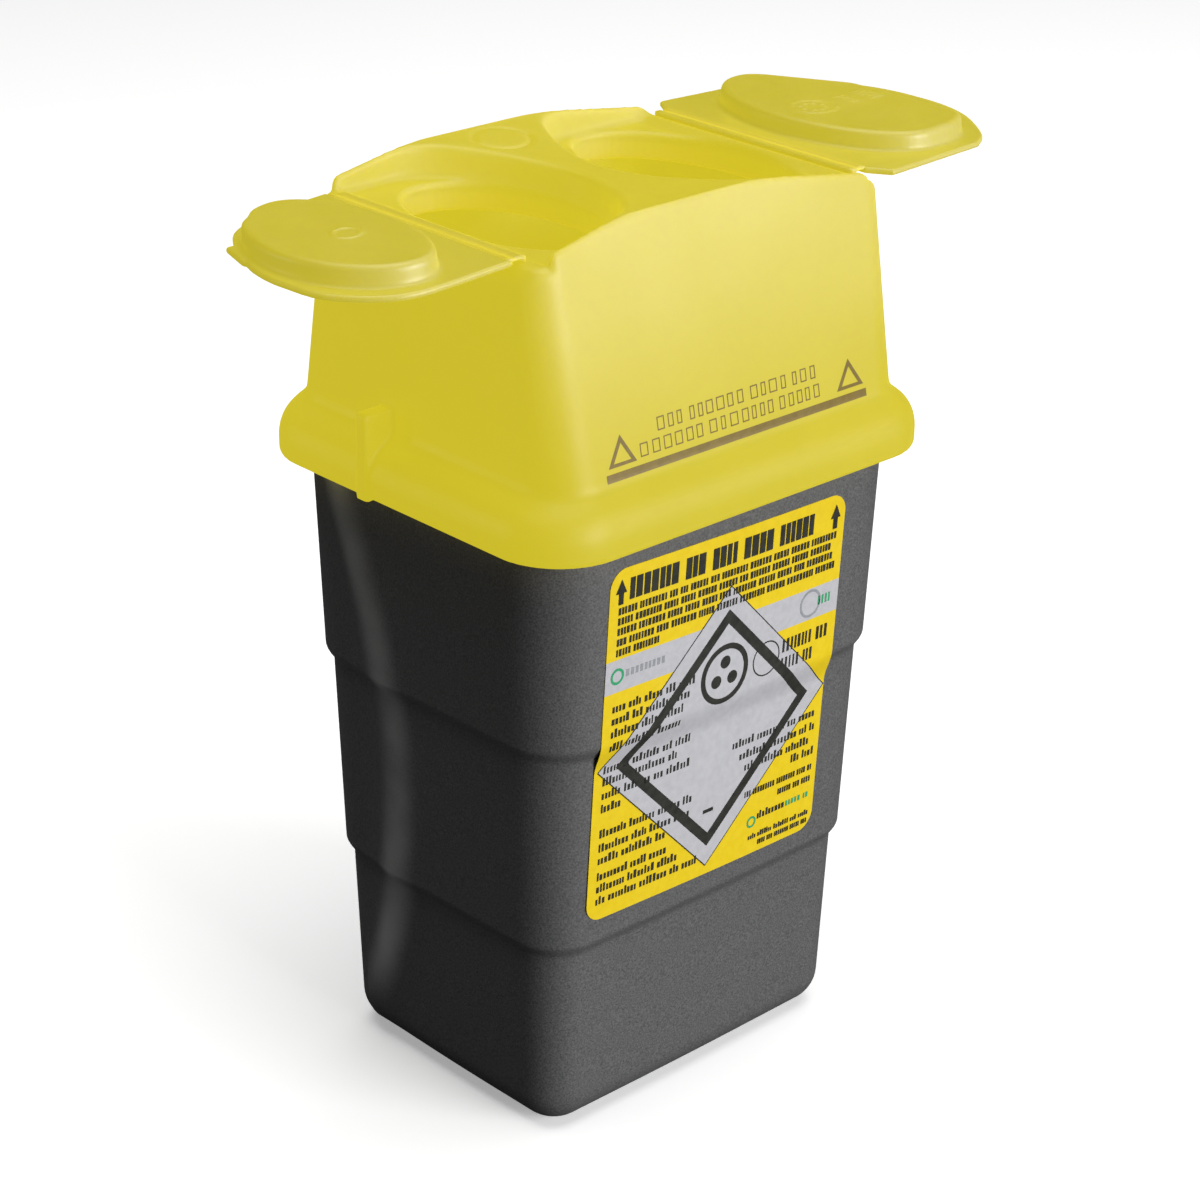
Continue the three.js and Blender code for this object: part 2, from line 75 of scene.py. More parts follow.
# Bin wall: half widths at the base, growing with height and at two soft steps.
BASE = {"x": 40.3, "y": 31.6, "r": 8.1}
BASE_FILLET = 7.4
DRAFT = {"x": 0.031, "y": 0.036}
STEP_LEVELS = (42.4, 86.3)
STEP_OUT = 1.5
STEP_HEIGHT = 3.4
BIN_WALL = 1.5
BIN_FLOOR = 1.8
WALL_BOW = 0.35
CORNER_GROWTH = 0.3
BASE_STEPS = 12

# The flange that the lid presses over: how far it stays inside the lid's rim, and its rings (inset, height).
FLANGE = {"x": 2.2, "y": 2.2, "r": 2.4}
FLANGE_RINGS = ((0.6, 132.6), (0.1, 133.0), (0, 133.4),
                (0, BIN_TOP - 1.0), (0.3, BIN_TOP - 0.3), (1, BIN_TOP))

# A soft swelling down the left wall: its line is at y where z is, and swings back by swing at reach from z.
CREASE = {"y": 9.0, "swing": 12.0, "z": 68.0, "reach": 56.0, "width": 4.2, "height": 1.3,
          "top": 130.0, "top_fade": 8.0, "base_fade": 12.0}

# Lid: bead rim, leaning walls, gable.
RIM = {"x": 52.0, "y": 44.0, "r": 14.4}
RIM_LIP = 128.8
RIM_WIDEST = 132.0
BEAD_TOP = 139.0
BEAD_WIDTH = (3, 8)
FOOT_Z = 140.0
FOOT = {"x": 46.0, "y": 39.4, "r": 9.4}
LEAN = {"x": 0.02, "y": 0.195, "r": 0.085}
SHELL = 1.5
GABLE_KINKS = (-22.5, 10.8)
GABLE_FALL = (0.199, 0.155)
GABLE_END = 41.4
LAND_Z = 181.5
LAND_SET_BACK = 1.0
LAND_FOOT = {"x": 45.3, "z": 178.3}
WELL_FLOOR = 180.4
WELL_END = 2.9
WELL_END_RISE = {"slope": 0.55, "reach": 2.2}
WELL_HALF_Y = 29.4
RIDGE = {1: (-0.8, 11.5), -1: (-7.3, 15.0)}
RIDGE_DIP = 2.0
RIDGE_SIDE = {"scale": 0.9, "draft": 0.18}
COLLAR_TOP = 180.1
COLLAR_BOTTOM = 174.5
CUT_BOTTOM = 172.5
COLLAR_WALL = 1.3
MARK = {"x": -5.6, "y": 22.3, "radius": 5.65, "width": 0.9, "depth": 0.5}
RIB = {"y": 8.8, "half": 1.6, "outer": 52.6, "top": 145.6, "sunk": 0.9}
SLOT = {"y": -6.0, "from_hinge": 8, "mouth": 5.2, "end": 1.6, "overlap": 1.5, "reach": 5.0,
        "teeth": 4, "tooth": (1.2, 0.55)}
LID_STEP = 0.5

# How widely the edges of lid and flaps are rounded where two surfaces meet.
ROUND = {"foot": 3.2, "gable_kink": 1.2, "gable": 1.1, "gable_end": 2.4, "land": 0.8, "crest": 1.4,
         "well_corner": 5.0, "well_foot": 2.2, "well_rim": 1.3, "inside": 0.3, "collar": 0.6,
         "collar_foot": 1.0, "opening_end": 0.5, "opening": 1.5, "slot": 0.3, "mark": 0.4,
         "rib": 0.7, "rib_back": 0.2, "lip": 0.9, "plate": 0.6, "plug": 1.3, "plug_foot": 1.0,
         "hollow": 1.0, "hollow_rim": 0.7, "notch": 1.2, "raised_mark": 0.25}

# Flaps.
PLATE = 1.3
PLATE_START = 0.95
PLUG_CLEARANCE = 1.1
PLUG_WALL = 1.3
PLUG_HEIGHT = {"left_flap": 4.0, "right_flap": 3.8}
PLUG_DRAFT = {"outside": 0.09, "inside": 0.06}
DROOP = {"left_flap": 3.0, "right_flap": 0.0}
NOTCH = {"u": 27.4, "y": 22.0, "radius": 3.4}
FLAP_STEP = 0.32

# Low marks on the plugs' faces: one small ring on the left, a rosette and two rows of blocks on the right.
MARK_RISE = {"above": 0.25, "below": 0.8}
SMALL_RING = {"u": 19, "y": -2, "radius": 2.6, "half": 0.3}
ROSETTE = {"u": 14.6, "y": -0.8, "radius": 4.5, "half": 0.35, "dots": 8, "dots_at": 2.5, "dot": 0.6}
BLOCKS = {"y": -1.2, "pitch": 1.35, "half": 0.4, "rows": ((24.2, 1.1, 4), (30.0, 1.7, 5))}

# The web over a hinge: its width, its lower face, the grooves above and below, and its thicker root on the
# lid's side.
FILM = {"from": -2.2, "to": 1.5, "lower": -0.45, "upper_groove": 0.28, "lower_groove": 0.1, "groove": 0.5,
        "root": 0.6, "root_end": -0.9, "half_y": {"left_flap": 25.2, "right_flap": 27.2}}

# Label sheet on the front wall, and how far the printed layers stand off the wall.
LABEL = {"x": -2.6, "z": 85.7, "width": 62.8, "height": 75.2, "corner": 4.0, "turn": 1.1}
SHEET = {"lift": 0.02, "thick": 0.12}
PRINT_THICK = 0.03
PRINT_LIFT = {"band": 0.14, "grey": 0.17, "green": 0.17, "diamond": 0.19, "ink": 0.22}

# Looks: colours are linear, and a mottled surface runs from its dark to its light one. The painted highlight,
# a pale streak standing in for light, lies along the swelling in the left wall; the painted sheen, standing
# in for the front light's reflection, grows between two heights.
PAINTED_HIGHLIGHT = {"half": 6.5, "x": -37.0, "edge": 2, "low": 6.0, "fade": 14, "color": (0.44, 0.44, 0.445)}
PAINTED_SHEEN = {"from_z": 138.0, "to_z": 188.0, "color": (0.20, 0.19, 0.125)}
BIN_GREY = {"plain": (0.09, 0.09, 0.092), "dark": (0.055, 0.055, 0.056), "light": (0.135, 0.135, 0.138),
            "shine": 0.45}
YELLOWS = {
    "lid_yellow": {"dark": (0.06, 0.052, 0.008), "light": (0.085, 0.074, 0.013),
                   "glow": (0.59, 0.492, 0.02), "roughness": 0.48, "depth": 0.004, "shine": 0.3},
    "flap_yellow": {"dark": (0.11, 0.096, 0.014), "light": (0.15, 0.13, 0.022),
                    "glow": (0.48, 0.405, 0.018), "roughness": 0.42, "depth": 0.003, "shine": 0.55},
}
INKS = {
    "label_yellow": {"dark": (0.70, 0.51, 0.006), "light": (0.75, 0.55, 0.010), "roughness": 0.42},
    "label_white": {"dark": (0.43, 0.43, 0.455), "light": (0.48, 0.48, 0.505), "roughness": 0.4},
    "label_ink": {"dark": (0.016, 0.016, 0.014), "light": (0.03, 0.03, 0.024), "roughness": 0.4},
    "label_green": {"dark": (0.03, 0.28, 0.12), "light": (0.04, 0.34, 0.15), "roughness": 0.4},
    "label_grey": {"dark": (0.24, 0.25, 0.27), "light": (0.30, 0.31, 0.33), "roughness": 0.4},
    "fill_ink": {"dark": (0.14, 0.09, 0.008), "light": (0.18, 0.12, 0.012), "roughness": 0.4},
}


# ---------- fields: signed distances on a lattice, negative inside ----------

class Lattice:
    def __init__(self, low, high, step):
        self.low = np.array(low, float)
        self.step = step
        axes = [np.arange(a, b + step, step, dtype=np.float32) for a, b in zip(low, high)]
        self.x = axes[0][:, None, None]
        self.y = axes[1][None, :, None]
        self.z = axes[2][None, None, :]


def soft_max(a, b, round_over):
    """The larger of two fields, rounded where they cross: what is inside both."""
    share = np.clip(0.5 + 0.5 * (a - b) / round_over, 0, 1)
    return b + (a - b) * share + round_over * share * (1 - share)


def soft_min(a, b, round_over):
    """The smaller of two fields, rounded where they cross: what is inside either."""
    return -soft_max(-a, -b, round_over)


def plan_distance(x, y, half_x, half_y, radius):
    """Signed distance in plan to a rounded rectangle about the origin."""
    qx = np.abs(x) - half_x + radius
    qy = np.abs(y) - half_y + radius
    outside = np.hypot(np.maximum(qx, 0), np.maximum(qy, 0))
    return outside + np.minimum(np.maximum(qx, qy), 0) - radius


def outline_distance(points, x, y):
    """Signed distance in plan to a closed outline."""
    x, y = np.broadcast_arrays(x, y)
    nearest = np.full(x.shape, 1e9, np.float32)
    inside = np.zeros(x.shape, bool)
    for (ax, ay), (bx, by) in zip(points, points[1:] + points[:1]):
        ex, ey = bx - ax, by - ay
        t = np.clip(((x - ax) * ex + (y - ay) * ey) / (ex * ex + ey * ey), 0, 1)
        nearest = np.minimum(nearest, (x - ax - t * ex) ** 2 + (y - ay - t * ey) ** 2)
        crosses = (ay > y) != (by > y)
        if ey:
            inside ^= crosses & (x < ax + (y - ay) * ex / ey)
    distance = np.sqrt(nearest)
    return np.where(inside, -distance, distance)


def mesh_object(name, points, faces):
    """A smooth-shaded mesh object from points in millimetres."""
    mesh = bpy.data.meshes.new(name)
    mesh.from_pydata((np.asarray(points) * MM).tolist(), [], np.asarray(faces).tolist())
    mesh.validate()
    mesh.shade_smooth()
    made = bpy.data.objects.new(name, mesh)
    bpy.context.scene.collection.objects.link(made)
    return made


def face_outwards(mesh, fill_ends=False):
    """Turns the faces of a closed mesh out; fill_ends first cuts a loft's many-sided ends into triangles."""
    bm = bmesh.new()
    bm.from_mesh(mesh)
    if fill_ends:
        bmesh.ops.triangulate(bm, faces=[f for f in bm.faces if len(f.verts) > 4])
    bmesh.ops.recalc_face_normals(bm, faces=bm.faces)
    bm.to_mesh(mesh)
    bm.free()
    mesh.shade_smooth()


def surface_of(name, field, lattice, place=lambda points: points):
    """The surface where a field is zero, as a mesh object."""
    reach = 3.0
    grid = openvdb.FloatGrid(reach)
    grid.copyFromArray(np.clip(field / lattice.step, -reach, reach).astype(np.float32))
    points, quads = grid.convertToQuads(0.0)
    points = place(points * lattice.step + lattice.low)
    made = mesh_object(name, points, quads)
    face_outwards(made.data)
    return made


# ---------- plan outlines of the flaps: u away from the hinge, y as in the frame ----------

def arc(cx, cy, a, b, start, end, count=24):
    angles = np.linspace(start, end, count)
    return [(cx + a * math.cos(t), cy + b * math.sin(t)) for t in angles]


def curve(points, count=10):
    """Catmull-Rom curve through points."""
    points = [np.array(p, float) for p in points]
    padded = [2 * points[0] - points[1]] + points + [2 * points[-1] - points[-2]]
    made = []
    for p0, p1, p2, p3 in zip(padded, padded[1:], padded[2:], padded[3:]):
        for t in np.linspace(0, 1, count, endpoint=False):
            made.append(0.5 * (2 * p1 + (p2 - p0) * t + (2 * p0 - 5 * p1 + 4 * p2 - p3) * t * t
                               + (3 * p1 - p0 - 3 * p2 + p3) * t ** 3))
    return [tuple(p) for p in made] + [tuple(points[-1])]


def bend(start, control, end, count=8):
    start, control, end = (np.array(p, float) for p in (start, control, end))
    steps = np.linspace(0, 1, count)
    return [tuple((1 - t) ** 2 * start + 2 * t * (1 - t) * control + t * t * end) for t in steps]


def right_plate():
    nose = curve([(31.4, -30.1), (36.7, -26.3), (43.6, -16.8), (46.6, -8.5), (47.3, 0),
                  (46.6, 8.5), (43.6, 16.8), (36.7, 26.3), (31.4, 30.1)])
    return [(PLATE_START, -27.5), (4, -32.2)] + nose + [(4, 32.2), (PLATE_START, 27.5)]


def right_plug():
    return (bend((35.4, 5), (35.4, 7), (34.4, 8.8)) + bend((26.4, 23.4), (24, 27.2), (20.4, 27.2))
            + arc(20.4, 0, 15.6, 27.2, 0.5 * math.pi, 1.5 * math.pi, 40)[1:]
            + bend((20.4, -27.2), (29, -27.4), (33.4, -23.8))[1:]
            + bend((33.4, -23.8), (35.4, -22.4), (35.4, -20.5))[1:])


def left_plate():
    near = curve([(16, -25.6), (21, -25.3), (25.4, -24), (29.4, -21), (32.8, -16.6), (34.8, -12),
                  (35.4, -5), (35.4, 0), (34.6, 5), (33.4, 8.8)])
    tab = [(33.7, 9.4), (31.4, 17.2), (29.8, 17)]
    far = curve([(29.8, 17), (25.6, 22.4), (19, 25.6), (14, 26.6)])[1:]
    return [(PLATE_START, -25.4)] + near + tab + far + [(PLATE_START, 26.9)]


def left_plug():
    half = 22.2
    return (arc(18.2, 0, 11.2, half, 0.5 * math.pi, 1.5 * math.pi, 48)
            + arc(18.2, 0, 15.3, half, -0.5 * math.pi, 0.5 * math.pi, 60)[1:-1])


PLATES = {"left_flap": left_plate(), "right_flap": right_plate()}
PLUGS = {"left_flap": left_plug(), "right_flap": right_plug()}
SIDES = {"left_flap": -1, "right_flap": 1}


def into_deck(points, side, hinge):
    return [(side * (hinge - u), y) for u, y in points]


# ---------- bin ----------

def step_out(z, level, height):
    t = min(max((z - level) / height + 0.5, 0), 1)
    return STEP_OUT * t * t * (3 - 2 * t)


def bin_section(z):
    out = sum(step_out(z, level, STEP_HEIGHT) for level in STEP_LEVELS)
    return (BASE["x"] + DRAFT["x"] * z + out, BASE["y"] + DRAFT["y"] * z + out,
            BASE["r"] + CORNER_GROWTH * (DRAFT["x"] + DRAFT["y"]) * z + out)


def bow(along, half):
    """How far a long wall stands out beyond its straight line."""
    return WALL_BOW * max(0.0, 1 - (along / half) ** 2) ** 1.5


def crease(y, z):
    """A soft swelling that curves down the left wall, as moulded thin walls have."""
    centre = CREASE["y"] + CREASE["swing"] * ((z - CREASE["z"]) / CREASE["reach"]) ** 2
    ends = min(1.0, max(0.0, (CREASE["top"] - z) / CREASE["top_fade"]), max(0.0, z / CREASE["base_fade"]))
    return CREASE["height"] * ends * math.exp(-0.5 * ((y - centre) / CREASE["width"]) ** 2)


def ring(half_x, half_y, radius, z, bowed, per_corner=14, per_side=36):
    """Points round a rounded rectangle, whose sides stand out by bowed times the bow and the swelling."""
    radius = max(radius, 0.4)
    flat_x, flat_y = half_x - radius, half_y - radius
    corners = ((1, 1, 0.0), (-1, 1, 0.5), (-1, -1, 1.0), (1, -1, 1.5))
    points = []
    for sign_x, sign_y, start in corners:
        for i in range(per_corner):
            angle = (start + 0.5 * i / per_corner) * math.pi
            points.append((sign_x * flat_x + radius * math.cos(angle),
                           sign_y * flat_y + radius * math.sin(angle), z))
        for i in range(per_side):
            t = 1 - 2 * i / per_side
            if sign_x * sign_y > 0:
                y = sign_y * (half_y + bowed * bow(t * flat_x, flat_x))
                points.append((sign_x * flat_x * t, y, z))
            else:
                x = sign_x * (half_x + bowed * bow(t * flat_y, flat_y))
                y = sign_y * flat_y * t
                if sign_x < 0:
                    x -= bowed * crease(y, z)
                points.append((x, y, z))
    return points


def fillet_ring(floor, wall, radius, share, bowed):
    """A ring of the round foot of a wall, share of the way up from the floor to the straight wall."""
    angle = share * math.pi / 2
    z = floor + radius * (1 - math.cos(angle))
    x, y, r = bin_section(z)
    inset = wall + radius * (1 - math.sin(angle))
    return ring(x - inset, y - inset, r - inset, z, bowed * math.sin(angle))


def wall_heights():
    """Heights of the rings of the straight wall, close together at the steps."""
    heights = list(np.arange(BASE_FILLET + 2, RIM_LIP + 2.6, 3.0))
    for level in STEP_LEVELS:
        heights += list(np.linspace(level - 0.6 * STEP_HEIGHT, level + 0.6 * STEP_HEIGHT, 15))
    heights = sorted(heights)
    return [z for i, z in enumerate(heights) if i == 0 or z - heights[i - 1] > 0.2]


def make_bin():
    """The bin as one loft: up the outside, over the flange, and down the inside to the floor."""
    heights = wall_heights()
    rings = [fillet_ring(0, 0, BASE_FILLET, i / BASE_STEPS, 1) for i in range(BASE_STEPS + 1)]
    rings += [ring(*bin_section(z), z, 1) for z in heights]
    for inset, z in FLANGE_RINGS:
        x, y, r = (RIM[key] - FLANGE[key] - inset for key in ("x", "y", "r"))
        rings.append(ring(x, y, r, z, 0))
    for z in [BIN_TOP, BIN_TOP - 0.8] + heights[::-1]:
        x, y, r = bin_section(z)
        rings.append(ring(x - BIN_WALL, y - BIN_WALL, r - BIN_WALL, z, 1))
    for i in range(BASE_STEPS, -1, -2):
        rings.append(fillet_ring(BIN_FLOOR, BIN_WALL, BASE_FILLET - BIN_WALL, i / BASE_STEPS, 0))
    count = len(rings[0])
    points = [p for one in rings for p in one]
    faces = []
    for i in range(len(rings) - 1):
        for j in range(count):
            k = (j + 1) % count
            faces.append((i * count + j, i * count + k, (i + 1) * count + k, (i + 1) * count + j))
    faces += [tuple(range(count))[::-1], tuple(range((len(rings) - 1) * count, len(rings) * count))]
    mesh = bpy.data.meshes.new("bin_shell")
    mesh.from_pydata([tuple(c * MM for c in p) for p in points], [], faces)
    mesh.validate()
    made = bpy.data.objects.new("bin_shell", mesh)
    bpy.context.scene.collection.objects.link(made)
    face_outwards(mesh, fill_ends=True)
    return made


# ---------- lid ----------

def lid_section(z):
    up = z - FOOT_Z
    return FOOT["x"] - LEAN["x"] * up, FOOT["y"] - LEAN["y"] * up, FOOT["r"] - LEAN["r"] * up


def bead(x, y, z):
    """The rim: upright below its widest line, an ellipse in section above it."""
    rim = plan_distance(x, y, RIM["x"], RIM["y"], RIM["r"])
    foot = plan_distance(x, y, FOOT["x"], FOOT["y"], FOOT["r"])
    width = np.clip(foot - rim, *BEAD_WIDTH)
    height = BEAD_TOP - RIM_WIDEST
    out = np.maximum(foot, 0)
    up = np.maximum(z - RIM_WIDEST, 0)
    k1 = np.hypot(out / width, up / height)
    k2 = np.hypot(out / width ** 2, up / height ** 2)
    return np.where(k2 < 1e-3, -3.0, k1 * (k1 - 1) / np.maximum(k2, 1e-3))


def ridge_crest(y):
    return LID_TOP - RIDGE_DIP * (1 - np.clip(y / WELL_HALF_Y, -1, 1) ** 2)


def lid_solid(x, y, z):
    """The lid's outer skin, wells and hinge lands, with nothing hollowed out."""
    half_x, half_y, radius = lid_section(z)
    wall = plan_distance(x, y, half_x, half_y, radius) * math.cos(math.atan(LEAN["y"]))
    solid = soft_min(bead(x, y, z), wall, ROUND["foot"])
    left = (z - LID_TOP - GABLE_FALL[0] * (x - GABLE_KINKS[0])) / math.hypot(1, GABLE_FALL[0])
    right = (z - LID_TOP + GABLE_FALL[1] * (x - GABLE_KINKS[1])) / math.hypot(1, GABLE_FALL[1])
    gable = soft_max(soft_max(z - LID_TOP, left, ROUND["gable_kink"]), right, ROUND["gable_kink"])
    solid = soft_max(solid, gable, ROUND["gable"])
    solid = soft_max(solid, np.minimum(np.abs(x) - GABLE_END, z - LAND_Z), ROUND["gable_end"])
    for name, side in SIDES.items():
        hinge = abs(HINGE[name].x)
        run = LAND_FOOT["x"] - hinge + LAND_SET_BACK
        drop = LAND_Z - LAND_FOOT["z"]
        slope = (drop * (side * x - hinge + LAND_SET_BACK) + run * (z - LAND_Z)) / math.hypot(drop, run)
        solid = soft_max(solid, slope, ROUND["land"])
    inner_y = np.abs(y) - (half_y - SHELL)
    solid = soft_max(solid, np.minimum(z - ridge_crest(y), -inner_y), ROUND["crest"])
    for name, side in SIDES.items():
        apex, flare = RIDGE[side]
        edge = apex + side * flare * (y / WELL_HALF_Y) ** 2
        past_ridge = side * (x - edge) * RIDGE_SIDE["scale"] - RIDGE_SIDE["draft"] * (LID_TOP - z)
        end = abs(HINGE[name].x) - WELL_END - side * x
        sides = soft_min(past_ridge, -inner_y, ROUND["well_corner"])
        rise = WELL_END_RISE["slope"] * np.clip(WELL_END_RISE["reach"] - end, 0, WELL_END_RISE["reach"])
        well = soft_min(sides, z - WELL_FLOOR - rise, ROUND["well_foot"])
        solid = soft_max(solid, well, ROUND["well_rim"])
    return solid


def needle_slot(hinge):
    """The outline of the slot: it narrows in steps away from the opening, with a tooth at each step."""
    mouth = -(hinge - SLOT["from_hinge"])
    back, nip = SLOT["tooth"]
    rows = {1: [], -1: []}
    for sign, row in rows.items():
        for i in range(SLOT["teeth"] + 1):
            t = i / SLOT["teeth"]
            half = (SLOT["mouth"] + (SLOT["end"] - SLOT["mouth"]) * t) / 2
            x = mouth + SLOT["overlap"] - (SLOT["reach"] + SLOT["overlap"]) * t
            row.append((x, SLOT["y"] + sign * half))
            if i < SLOT["teeth"]:
                row.append((x - back, SLOT["y"] + sign * (half - nip)))
    return rows[1] + rows[-1][::-1]


def cut_through(shell, plan, z, corner, edge):
    """Takes a plan shape out of the shell, from below the collars upwards."""
    return soft_max(shell, -soft_max(plan, CUT_BOTTOM - z, corner), edge)


def make_lid():
    lattice = Lattice((-54.5, -46, 126.5), (54.5, 46, 189.5), LID_STEP)
    x, y, z = lattice.x, lattice.y, lattice.z
    solid = lid_solid(x, y, z)
    shell = soft_max(solid, -(solid + SHELL), ROUND["inside"])
    for name, side in SIDES.items():
        hinge = abs(HINGE[name].x)
        rim = outline_distance(into_deck(PLUGS[name], side, hinge), x, y) - PLUG_CLEARANCE
        collar = np.abs(rim - COLLAR_WALL / 2) - COLLAR_WALL / 2
        collar = soft_max(collar, np.maximum(COLLAR_BOTTOM - z, z - COLLAR_TOP), ROUND["collar"])
        shell = soft_min(shell, collar, ROUND["collar_foot"])
        shell = cut_through(shell, rim, z, ROUND["opening_end"], ROUND["opening"])
    slot = outline_distance(needle_slot(abs(HINGE["left_flap"].x)), x, y)
    shell = cut_through(shell, slot, z, ROUND["opening_end"], ROUND["slot"])
    mark = np.abs(np.hypot(x - MARK["x"], y - MARK["y"]) - MARK["radius"]) - MARK["width"] / 2
    groove = soft_max(mark, ridge_crest(y) - MARK["depth"] - z, ROUND["mark"])
    shell = soft_max(shell, -groove, ROUND["mark"])
    rib = soft_max(np.abs(y - RIB["y"]) - RIB["half"], np.abs(x) - RIB["outer"], ROUND["rib"])
    rib = soft_max(rib, np.maximum(z - RIB["top"], LID_BOTTOM - z), ROUND["rib"])
    rib = soft_max(rib, -(solid + RIB["sunk"]), ROUND["rib_back"])
    shell = soft_max(shell, RIM_LIP - z, ROUND["lip"])
    shell = soft_min(shell, rib, ROUND["lip"])
    return surface_of("lid_moulding", shell, lattice)


# ---------- flaps and film hinges ----------

def place_on_hinge(name):
    """Turns (u, y, height) of a flap into the frame, at the flap's rest angle."""
    side = SIDES[name]
    hinge = HINGE[name]
    droop = math.radians(DROOP[name])

    def place(points):
        u, y, h = points[:, 0], points[:, 1], points[:, 2]
        out = u * math.cos(droop) + h * math.sin(droop)
        up = h * math.cos(droop) - u * math.sin(droop)
        return np.stack([hinge.x + side * out, y, hinge.z + up], 1)

    return place


def make_flap(name):
    plate_line, plug_line = PLATES[name], PLUGS[name]
    reach = max(u for u, _ in plate_line) + 1.5
    lattice = Lattice((-0.8, -34, -2.6), (reach, 34, 6), FLAP_STEP)
    x, y, z = lattice.x, lattice.y, lattice.z
    height = PLUG_HEIGHT[name]
    plate = outline_distance(plate_line, x, y)
    plate = soft_max(plate, np.abs(z + PLATE / 2) - PLATE / 2, ROUND["plate"])
    plug = outline_distance(plug_line, x, y)
    if name == "left_flap":
        bite = NOTCH["radius"] - np.hypot(x - NOTCH["u"], y - NOTCH["y"])
        plug = soft_max(plug, bite, ROUND["notch"])
    raised = plug + PLUG_DRAFT["outside"] * z
    raised = soft_max(raised, np.maximum(z - height, -PLATE - z), ROUND["plug"])
    flap = soft_min(plate, raised, ROUND["plug_foot"])
    hollow = plug + PLUG_WALL + PLUG_DRAFT["inside"] * z
    hollow = soft_max(hollow, z - height + PLUG_WALL, ROUND["hollow"])
    flap = soft_max(flap, -hollow, ROUND["hollow_rim"])
    flap = soft_min(flap, flap_marks(name, x, y, z, height), ROUND["raised_mark"])
    return surface_of(name + "_moulding", flap, lattice, place_on_hinge(name))


def flap_marks(name, x, y, z, height):
    """Low raised marks on a plug's face, which say nothing."""
    rise = np.maximum(z - height - MARK_RISE["above"], height - MARK_RISE["below"] - z)
    ring_mark = SMALL_RING if name == "left_flap" else ROSETTE
    off_x, off_y = x - ring_mark["u"], y - ring_mark["y"]
    marks = np.abs(np.hypot(off_x, off_y) - ring_mark["radius"]) - ring_mark["half"]
    if name == "left_flap":
        return np.maximum(marks, rise)
    for turn in range(ROSETTE["dots"]):
        angle = turn * 2 * math.pi / ROSETTE["dots"]
        at_x, at_y = ROSETTE["dots_at"] * math.cos(angle), ROSETTE["dots_at"] * math.sin(angle)
        marks = np.minimum(marks, np.hypot(off_x - at_x, off_y - at_y) - ROSETTE["dot"])
    for u, half_u, count in BLOCKS["rows"]:
        for i in range(count):
            along = y - BLOCKS["y"] - BLOCKS["pitch"] * (i - count / 2 + 0.5)
            marks = np.minimum(marks, np.maximum(np.abs(x - u) - half_u, np.abs(along) - BLOCKS["half"]))
    return np.maximum(marks, rise)


def make_film(name):
    """The web between lid and flap, which thins to a line at the hinge axis."""
    half_y = FILM["half_y"][name]
    across = np.linspace(FILM["from"], FILM["to"], 24)
    along = np.linspace(-half_y, half_y, 40)
    groove = np.exp(-(across / FILM["groove"]) ** 2)
    root = np.clip(FILM["root_end"] - across, 0, 1)
    upper = -FILM["upper_groove"] * groove
    lower = FILM["lower"] + FILM["lower_groove"] * groove - FILM["root"] * root
    points, faces = [], []
    for level in (upper, lower):
        for u, h in zip(across, level):
            points += [(u, y, h) for y in along]
    rows, count = len(across), len(along)
    for i in range(rows - 1):
        for j in range(count - 1):
            a = i * count + j
            faces.append((a, a + 1, a + count + 1, a + count))
            b = a + rows * count
            faces.append((b, b + count, b + count + 1, b + 1))
    offset = rows * count
    for i in range(rows - 1):
        for j in (0, count - 1):
            a, b = i * count + j, (i + 1) * count + j
            faces.append((a, b, b + offset, a + offset))
    for j in range(count - 1):
        for i in (0, rows - 1):
            a, b = i * count + j, i * count + j + 1
            faces.append((a, b, b + offset, a + offset))
    hinge = HINGE[name]
    side = SIDES[name]
    placed = np.array([(hinge.x + side * u, y, hinge.z + h) for u, y, h in points])
    made = mesh_object(name.replace("flap", "hinge_web"), placed, faces)
    face_outwards(made.data)
    return made


# ---------- printed sheets ----------

def label_place(u, v, lift):
    """A place on the label, lifted off the bin's front wall; it bridges the step in the wall."""
    turn = math.radians(-LABEL["turn"])
    x = LABEL["x"] + u * math.cos(turn) - v * math.sin(turn)
    z = LABEL["z"] + u * math.sin(turn) + v * math.cos(turn)
    half_x, half_y, radius = bin_section(z)
    flat = half_x - radius
    level = STEP_LEVELS[1]
    bridge = step_out(z, level - STEP_HEIGHT / 2, 2 * STEP_HEIGHT) - step_out(z, level, STEP_HEIGHT)
    return Vector((x, -(half_y + bow(min(abs(x), flat), flat)) - bridge - lift, z))


def print_object(name, outlines, place, lift, thick, columns, levels):
    """Closed thin sheets with the given outlines, cut along columns and levels and laid on a wall."""
    bm = bmesh.new()
    for outline in outlines:
        bm.faces.new([bm.verts.new((u, 0, v)) for u, v in outline])
    cuts = [((at, 0, 0), (1, 0, 0)) for at in columns] + [((0, 0, at), (0, 0, 1)) for at in levels]
    for place_on_plane, across in cuts:
        geometry = list(bm.verts) + list(bm.edges) + list(bm.faces)
        bmesh.ops.bisect_plane(bm, geom=geometry, plane_co=place_on_plane, plane_no=across)
    bmesh.ops.triangulate(bm, faces=[f for f in bm.faces if len(f.verts) > 4])
    for vert in bm.verts:
        vert.co = place(vert.co.x, vert.co.z, lift + thick)
    mesh = bpy.data.meshes.new(name)
    bmesh.ops.recalc_face_normals(bm, faces=bm.faces)
    extruded = bmesh.ops.extrude_face_region(bm, geom=list(bm.faces))
    moved = [g for g in extruded["geom"] if isinstance(g, bmesh.types.BMVert)]
    for vert in moved:
        vert.co.y += thick
    for vert in bm.verts:
        vert.co *= MM
    bmesh.ops.recalc_face_normals(bm, faces=bm.faces)
    bm.to_mesh(mesh)
    bm.free()
    made = bpy.data.objects.new(name, mesh)
    bpy.context.scene.collection.objects.link(made)
    return made


def rectangle(left, right, low, high):
    return [(left, low), (right, low), (right, high), (left, high)]


